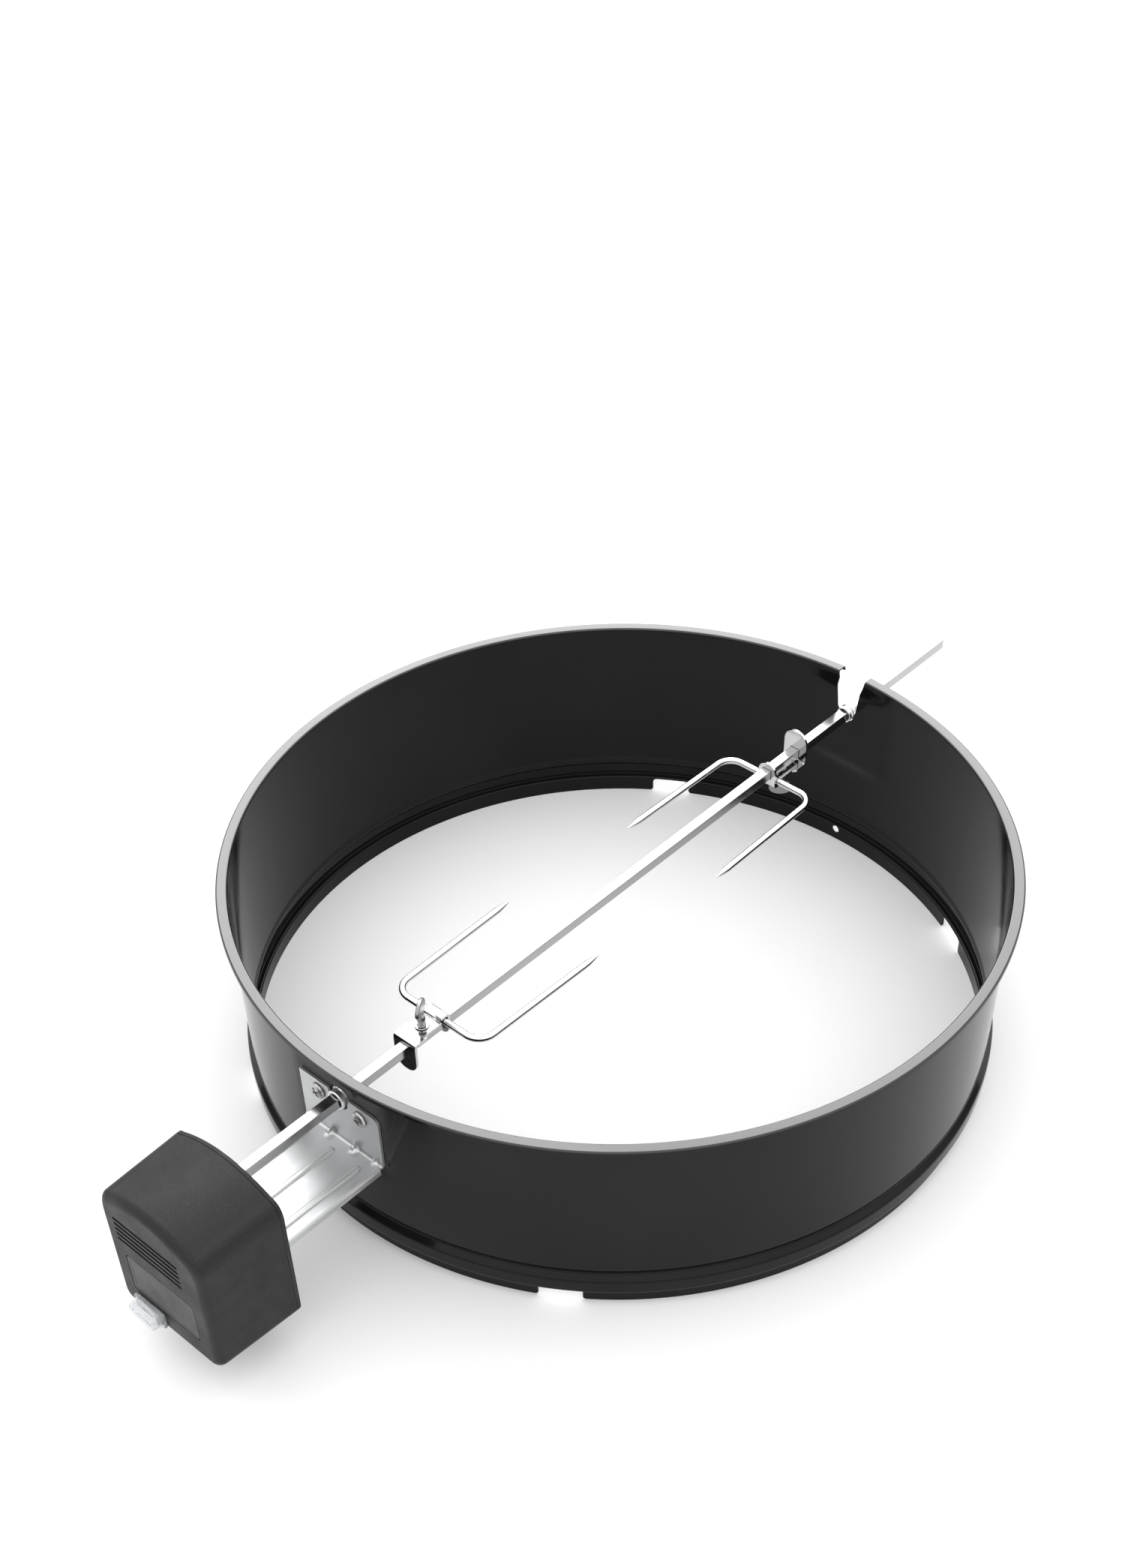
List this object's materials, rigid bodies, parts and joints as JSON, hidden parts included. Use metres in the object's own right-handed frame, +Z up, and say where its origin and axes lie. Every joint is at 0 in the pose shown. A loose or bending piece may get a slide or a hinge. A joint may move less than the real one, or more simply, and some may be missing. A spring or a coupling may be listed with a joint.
{
  "type": "grill rotisserie attachment",
  "caption": "Round enamelled ring for a kettle grill, with a square roasting spit across it, sliding prong forks and a plug-on gear motor on a side bracket.",
  "frame": {"origin": "on the surface the ring stands on, under the middle of the overall length", "axes": "+X along the spit from the motor to the free end, +Y to the left seen from the motor, +Z up"},
  "size_m": [0.863, 0.5798, 0.162],
  "materials": {
    "enamel": "gloss black enamel",
    "bright_chrome": "bright chrome plating",
    "stainless": "satin stainless sheet",
    "fasteners": "plain zinc-plated screws and nuts",
    "black_plastic": "fine-grained black moulding",
    "label": "blank recessed label",
    "clear_plastic": "clear soft switch cover",
    "switch_plastic": "pale switch rocker",
    "brass": "plain brass",
    "gear_plastic": "natural nylon",
    "motor_iron": "plain laminated iron"
  },
  "bodies": {
    "ring": {"ring_shell": "enamel", "motor_bracket": "stainless", "bracket_screw_left": "fasteners", "bracket_screw_right": "fasteners", "bracket_nut_left": "fasteners", "bracket_nut_right": "fasteners"},
    "motor": {"motor_housing": "black_plastic", "motor_cover": "black_plastic", "cover_screw_1": "fasteners", "cover_screw_2": "fasteners", "cover_screw_3": "fasteners", "cover_screw_4": "fasteners", "rating_plate": "label", "switch_bezel": "clear_plastic", "switch_boot": "clear_plastic", "gear_plate": "stainless", "motor_stator": "motor_iron"},
    "rocker": {"switch_rocker": "switch_plastic"},
    "drive": {"drive_socket": "brass"},
    "idler": {"idler_gear": "gear_plastic"},
    "rotor": {"motor_rotor": "motor_iron"},
    "spit": {"spit_rod": "bright_chrome", "collar_motor_side": "bright_chrome", "collar_free_side": "bright_chrome"},
    "fork_motor_side": {"fork_motor_side_clamp": "bright_chrome", "fork_motor_side_wire": "bright_chrome"},
    "screw_motor_side": {"fork_motor_side_thumb_screw": "bright_chrome"},
    "fork_free_side": {"fork_free_side_clamp": "bright_chrome", "fork_free_side_wire": "bright_chrome"},
    "screw_free_side": {"fork_free_side_thumb_screw": "bright_chrome"}
  },
  "joints": [
    {"name": "motor_pull", "type": "slide", "parent": "ring", "child": "motor", "axis": [-1, 0, 0], "range_m": [0, 0.04]},
    {"name": "rocker_press", "type": "hinge", "parent": "motor", "child": "rocker", "pos_m": [-0.42105, 0.018, 0.0445], "axis": [0, 0, 1], "range_deg": [0, 10]},
    {"name": "spit_spin", "type": "hinge", "parent": "ring", "child": "spit", "pos_m": [0, 0, 0.1288], "axis": [1, 0, 0], "continuous": true},
    {"name": "drive_spin", "type": "hinge", "parent": "motor", "child": "drive", "pos_m": [-0.37405, 0, 0.1288], "axis": [1, 0, 0], "continuous": true},
    {"name": "idler_spin", "type": "hinge", "parent": "motor", "child": "idler", "pos_m": [-0.37905, 0, 0.10445], "axis": [1, 0, 0], "continuous": true},
    {"name": "rotor_spin", "type": "hinge", "parent": "motor", "child": "rotor", "pos_m": [-0.39905, 0, 0.0801], "axis": [1, 0, 0], "continuous": true},
    {"name": "fork_motor_side_slide", "type": "slide", "parent": "spit", "child": "fork_motor_side", "axis": [1, 0, 0], "range_m": [-0.035, 0.09]},
    {"name": "fork_free_side_slide", "type": "slide", "parent": "spit", "child": "fork_free_side", "axis": [-1, 0, 0], "range_m": [-0.035, 0.09]},
    {"name": "screw_motor_side_turn", "type": "hinge", "parent": "fork_motor_side", "child": "screw_motor_side", "pos_m": [-0.17555, 0, 0.15], "axis": [0, 0, 1], "range_deg": [0, 360]},
    {"name": "screw_free_side_turn", "type": "hinge", "parent": "fork_free_side", "child": "screw_free_side", "pos_m": [0.22245, 0, 0.108], "axis": [0, 0, -1], "range_deg": [0, 360]}
  ],
  "couplings": [
    {"joint": "drive_spin", "follows": "spit_spin", "ratio": 1},
    {"joint": "idler_spin", "follows": "spit_spin", "ratio": -3},
    {"joint": "rotor_spin", "follows": "spit_spin", "ratio": 9}
  ]
}
